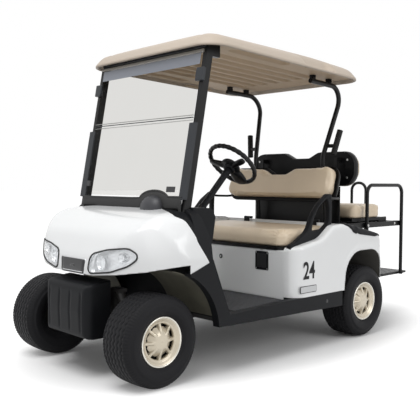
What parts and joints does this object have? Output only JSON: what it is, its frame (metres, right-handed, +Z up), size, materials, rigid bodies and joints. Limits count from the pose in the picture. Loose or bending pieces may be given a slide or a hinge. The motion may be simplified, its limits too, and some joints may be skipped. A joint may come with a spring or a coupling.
{
  "type": "four-seat golf cart",
  "caption": "Golf cart with steered front wheels, sand roof on struts, folding windshield, tan driver's bench and a rear-facing bench over a foot plate.",
  "frame": {"origin": "on the floor, midway along and midway across the cart", "axes": "+X forward, +Y to the driver's left, +Z up"},
  "size_m": [2.7186, 1.196, 1.8034],
  "materials": {
    "body_white": "gloss white moulded panels",
    "trim_black": "grained black plastic",
    "roof_sand": "matt sand plastic",
    "tube_black": "black powder coat",
    "frame_steel": "black painted steel",
    "cast_dark": "dark cast housing",
    "motor_case": "dark painted steel",
    "battery_case": "dark red brown plastic",
    "seat_tan": "tan vinyl",
    "shell_black": "black moulded plastic",
    "pane_clear": "clear acrylic, slightly grey",
    "lamp_clear": "clear lens over a bright reflector",
    "tyre_black": "black rubber",
    "cover_champagne": "satin champagne paint",
    "grip_rubber": "black rubber"
  },
  "bodies": {
    "chassis": {"bag_deck": "trim_black", "battery_pack": "battery_case", "bumper_apron": "trim_black", "chassis_frame": "frame_steel", "dash": "trim_black", "drive_motor": "motor_case", "floor_and_sills": "trim_black", "foot_plate": "tube_black", "front_cowl": "body_white", "front_roof_struts": "tube_black", "front_suspension": "frame_steel", "front_wheel_liners": "trim_black", "headlamps": "lamp_clear", "instrument_cover": "trim_black", "mud_flaps": "grip_rubber", "pedals": "tube_black", "rear_axle": "cast_dark", "rear_back": "seat_tan", "rear_back_shell": "shell_black", "rear_body": "body_white", "rear_grab_handle": "tube_black", "rear_grab_rails": "tube_black", "rear_roof_struts": "tube_black", "rear_seat_frame": "tube_black", "rear_springs": "frame_steel", "roof": "roof_sand", "roof_liner": "roof_sand", "seat_back": "seat_tan", "seat_back_shell": "shell_black", "seat_hinges": "tube_black", "seat_side_arms": "trim_black", "steering_column": "trim_black", "strut_grips": "grip_rubber", "windshield_channels": "trim_black", "windshield_lower": "pane_clear", "windshield_upper": "pane_clear"},
    "knuckle_left": {"knuckle_left": "cast_dark"},
    "knuckle_right": {"knuckle_right": "cast_dark"},
    "tie_rod": {"tie_rod": "frame_steel"},
    "steering_wheel": {"steering_wheel": "trim_black"},
    "wheel_front_left": {"wheel_front_left": "cover_champagne", "tyre_front_left": "tyre_black"},
    "wheel_front_right": {"wheel_front_right": "cover_champagne", "tyre_front_right": "tyre_black"},
    "wheel_rear_left": {"wheel_rear_left": "cover_champagne", "tyre_rear_left": "tyre_black"},
    "wheel_rear_right": {"wheel_rear_right": "cover_champagne", "tyre_rear_right": "tyre_black"},
    "seat_lid": {"seat_pan": "shell_black", "seat_cushion": "seat_tan"},
    "rear_seat_flap": {"rear_seat_base": "shell_black", "rear_cushion": "seat_tan"}
  },
  "joints": [
    {"name": "steer_left", "type": "hinge", "parent": "chassis", "child": "knuckle_left", "pos_m": [1.1307, 0.318, 0.2286], "axis": [0, 0, 1], "range_deg": [-28, 28]},
    {"name": "steer_right", "type": "hinge", "parent": "chassis", "child": "knuckle_right", "pos_m": [1.1307, -0.318, 0.2286], "axis": [0, 0, 1], "range_deg": [-28, 28]},
    {"name": "tie_rod_eye", "type": "hinge", "parent": "knuckle_left", "child": "tie_rod", "pos_m": [1.0207, 0.318, 0.1606], "axis": [0, 0, 1], "range_deg": [-28, 28]},
    {"name": "steering_turn", "type": "hinge", "parent": "chassis", "child": "steering_wheel", "pos_m": [0.3807, 0.27, 1.104], "axis": [-0.6947, 0, 0.7193], "range_deg": [-420, 420]},
    {"name": "roll_front_left", "type": "hinge", "parent": "knuckle_left", "child": "wheel_front_left", "pos_m": [1.1307, 0.45, 0.2286], "axis": [0, 1, 0], "continuous": true},
    {"name": "roll_front_right", "type": "hinge", "parent": "knuckle_right", "child": "wheel_front_right", "pos_m": [1.1307, -0.45, 0.2286], "axis": [0, 1, 0], "continuous": true},
    {"name": "roll_rear_left", "type": "hinge", "parent": "chassis", "child": "wheel_rear_left", "pos_m": [-0.5473, 0.49, 0.2286], "axis": [0, 1, 0], "continuous": true},
    {"name": "roll_rear_right", "type": "hinge", "parent": "chassis", "child": "wheel_rear_right", "pos_m": [-0.5473, -0.49, 0.2286], "axis": [0, 1, 0], "continuous": true},
    {"name": "seat_lid_lift", "type": "hinge", "parent": "chassis", "child": "seat_lid", "pos_m": [-0.3793, 0, 0.747], "axis": [0, -1, 0], "range_deg": [0, 60]},
    {"name": "rear_seat_flip", "type": "hinge", "parent": "chassis", "child": "rear_seat_flap", "pos_m": [-1.1193, 0, 0.704], "axis": [0, -1, 0], "range_deg": [0, 90]}
  ],
  "couplings": [
    {"joint": "steer_right", "follows": "steer_left", "ratio": 1},
    {"joint": "tie_rod_eye", "follows": "steer_left", "ratio": -1},
    {"joint": "steering_turn", "follows": "steer_left", "ratio": 15}
  ]
}
